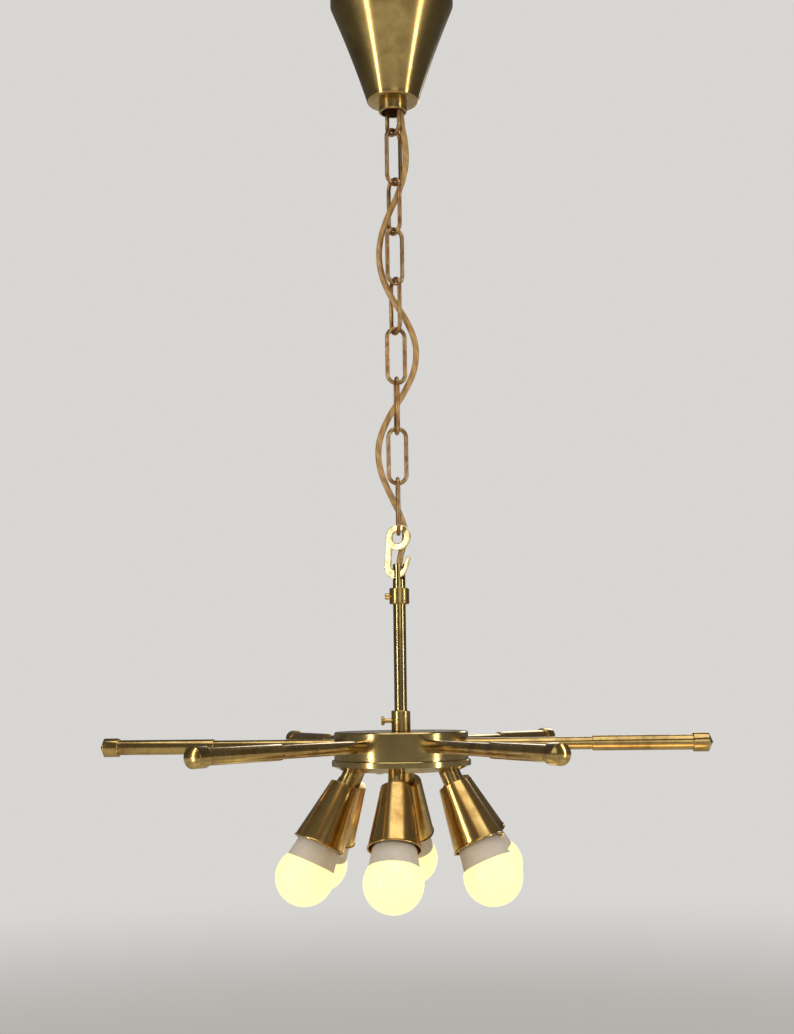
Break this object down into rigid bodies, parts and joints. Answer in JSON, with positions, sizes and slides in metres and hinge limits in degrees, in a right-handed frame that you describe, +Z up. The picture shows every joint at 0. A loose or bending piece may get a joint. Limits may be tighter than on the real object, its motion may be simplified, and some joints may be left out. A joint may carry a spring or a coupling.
{
  "type": "chandelier",
  "caption": "Starburst ceiling lamp: cone canopy, chain with woven flex, hook and tube, and a drum hub with straight arms and tilted cups for round lamps.",
  "frame": {"origin": "on the ceiling, at the centre of the ceiling hook's plate", "axes": "+Z up along the lamp's hanging axis; +X along the first arm"},
  "size_m": [0.486, 0.4224, 0.7198],
  "materials": {
    "steel": "zinc-plated, worn",
    "ivory": "moulded, matt",
    "canopy_brass": "polished, darkened with age",
    "aged_brass": "polished, darkened with age",
    "hub_base_brass": "polished, darkened with age",
    "screw_brass": "turned, bright",
    "chain_brass": "plated wire, slightly reddish",
    "flex": "golden, smooth",
    "cast_brass": "cast, pale and bright",
    "tube_brass": "drawn, polished",
    "arm_brass": "drawn and turned, polished",
    "cup_brass": "spun, polished",
    "black_plastic": "moulded, black",
    "lamp": "warm white diffuser on a grey housing"
  },
  "bodies": {
    "fixed": {"ceiling_hook": "steel", "terminal_block": "ivory", "canopy": "canopy_brass", "canopy_collar": "aged_brass", "chain_link_01": "chain_brass", "chain_link_02": "chain_brass", "flex_canopy": "flex", "flex_01": "flex"},
    "canopy_screw": {"canopy_screw": "screw_brass"},
    "link_03": {"chain_link_03": "chain_brass", "flex_02": "flex"},
    "link_04": {"chain_link_04": "chain_brass", "flex_03": "flex"},
    "link_05": {"chain_link_05": "chain_brass", "flex_04": "flex"},
    "link_06": {"chain_link_06": "chain_brass", "flex_05": "flex"},
    "link_07": {"chain_link_07": "chain_brass", "flex_06": "flex"},
    "link_08": {"chain_link_08": "chain_brass", "flex_07": "flex"},
    "link_09": {"chain_link_09": "chain_brass", "flex_08": "flex"},
    "link_10": {"chain_link_10": "chain_brass", "flex_09": "flex"},
    "hook": {"hook": "cast_brass", "flex_10": "flex"},
    "tube": {"tube": "tube_brass", "tube_nut": "screw_brass", "clamp_collar": "aged_brass", "flex_tube": "flex"},
    "clamp_screw": {"clamp_screw": "screw_brass"},
    "hub": {"hub_cover": "aged_brass", "hub_base": "hub_base_brass", "base_screws": "screw_brass", "hub_collar": "aged_brass", "hub_terminal": "ivory", "cup_necks": "aged_brass", "cup_nipples": "screw_brass", "lamp_holders": "black_plastic", "arm_1": "arm_brass", "arm_2": "arm_brass", "arm_3": "arm_brass", "arm_4": "arm_brass", "arm_5": "arm_brass", "arm_6": "arm_brass", "cup_1": "cup_brass", "cup_2": "cup_brass", "cup_3": "cup_brass", "cup_4": "cup_brass", "cup_5": "cup_brass", "cup_6": "cup_brass"},
    "thumb_screw": {"thumb_screw": "screw_brass"},
    "bulb_1": {"bulb_1": "lamp"},
    "bulb_2": {"bulb_2": "lamp"},
    "bulb_3": {"bulb_3": "lamp"},
    "bulb_4": {"bulb_4": "lamp"},
    "bulb_5": {"bulb_5": "lamp"},
    "bulb_6": {"bulb_6": "lamp"}
  },
  "joints": [
    {"name": "canopy_screw_turn", "type": "hinge", "parent": "fixed", "child": "canopy_screw", "pos_m": [0, 0, -0.087], "axis": [-0.7169, 0.6972, 0], "range_deg": [0, 180]},
    {"name": "link_03_swing", "type": "hinge", "parent": "fixed", "child": "link_03", "pos_m": [0, 0, -0.1089], "axis": [0.7169, -0.6972, 0], "range_deg": [-12, 12], "deforming": ["flex_01"]},
    {"name": "link_04_swing", "type": "hinge", "parent": "link_03", "child": "link_04", "pos_m": [0, 0, -0.1492], "axis": [0.6972, 0.7169, 0], "range_deg": [-12, 12], "deforming": ["flex_02"]},
    {"name": "link_05_swing", "type": "hinge", "parent": "link_04", "child": "link_05", "pos_m": [0, 0, -0.1895], "axis": [0.6665, -0.7455, 0], "range_deg": [-12, 12], "deforming": ["flex_03"]},
    {"name": "link_06_swing", "type": "hinge", "parent": "link_05", "child": "link_06", "pos_m": [0, 0, -0.2298], "axis": [0.7793, 0.6266, 0], "range_deg": [-12, 12], "deforming": ["flex_04"]},
    {"name": "link_07_swing", "type": "hinge", "parent": "link_06", "child": "link_07", "pos_m": [0, 0, -0.2701], "axis": [0.5417, -0.8406, 0], "range_deg": [-12, 12], "deforming": ["flex_05"]},
    {"name": "link_08_swing", "type": "hinge", "parent": "link_07", "child": "link_08", "pos_m": [0, 0, -0.3104], "axis": [0.9573, 0.289, 0], "range_deg": [-12, 12], "deforming": ["flex_06"]},
    {"name": "link_09_swing", "type": "hinge", "parent": "link_08", "child": "link_09", "pos_m": [0, 0, -0.3507], "axis": [0.1874, -0.9823, 0], "range_deg": [-12, 12], "deforming": ["flex_07"]},
    {"name": "link_10_swing", "type": "hinge", "parent": "link_09", "child": "link_10", "pos_m": [0, 0, -0.391], "axis": [0.9823, 0.1874, 0], "range_deg": [-12, 12], "deforming": ["flex_08"]},
    {"name": "hook_swing", "type": "hinge", "parent": "link_10", "child": "hook", "pos_m": [0, 0, -0.4313], "axis": [0.1184, -0.993, 0], "range_deg": [-12, 12], "deforming": ["flex_09"]},
    {"name": "tube_swing", "type": "hinge", "parent": "hook", "child": "tube", "pos_m": [0, 0, -0.4555], "axis": [0.2957, 0.9553, 0], "range_deg": [-8, 8], "deforming": ["flex_10"]},
    {"name": "clamp_screw_turn", "type": "hinge", "parent": "tube", "child": "clamp_screw", "pos_m": [0, 0, -0.481], "axis": [-0.9965, -0.0837, 0], "range_deg": [0, 180]},
    {"name": "hub_turn", "type": "hinge", "parent": "tube", "child": "hub", "pos_m": [0, 0, -0.588], "axis": [0, 0, 1], "range_deg": [-170, 170]},
    {"name": "thumb_screw_turn", "type": "hinge", "parent": "hub", "child": "thumb_screw", "pos_m": [0, 0, -0.5796], "axis": [-0.9965, -0.0837, 0], "range_deg": [0, 180]},
    {"name": "bulb_1_turn", "type": "hinge", "parent": "hub", "child": "bulb_1", "pos_m": [0.06149, 0.0355, -0.6738], "axis": [0.3932, 0.227, -0.891], "range_deg": [0, 360]},
    {"name": "bulb_2_turn", "type": "hinge", "parent": "hub", "child": "bulb_2", "pos_m": [0, 0.071, -0.6738], "axis": [0, 0.454, -0.891], "range_deg": [0, 360]},
    {"name": "bulb_3_turn", "type": "hinge", "parent": "hub", "child": "bulb_3", "pos_m": [-0.06149, 0.0355, -0.6738], "axis": [-0.3932, 0.227, -0.891], "range_deg": [0, 360]},
    {"name": "bulb_4_turn", "type": "hinge", "parent": "hub", "child": "bulb_4", "pos_m": [-0.06149, -0.0355, -0.6738], "axis": [-0.3932, -0.227, -0.891], "range_deg": [0, 360]},
    {"name": "bulb_5_turn", "type": "hinge", "parent": "hub", "child": "bulb_5", "pos_m": [0, -0.071, -0.6738], "axis": [0, -0.454, -0.891], "range_deg": [0, 360]},
    {"name": "bulb_6_turn", "type": "hinge", "parent": "hub", "child": "bulb_6", "pos_m": [0.06149, -0.0355, -0.6738], "axis": [0.3932, -0.227, -0.891], "range_deg": [0, 360]}
  ]
}
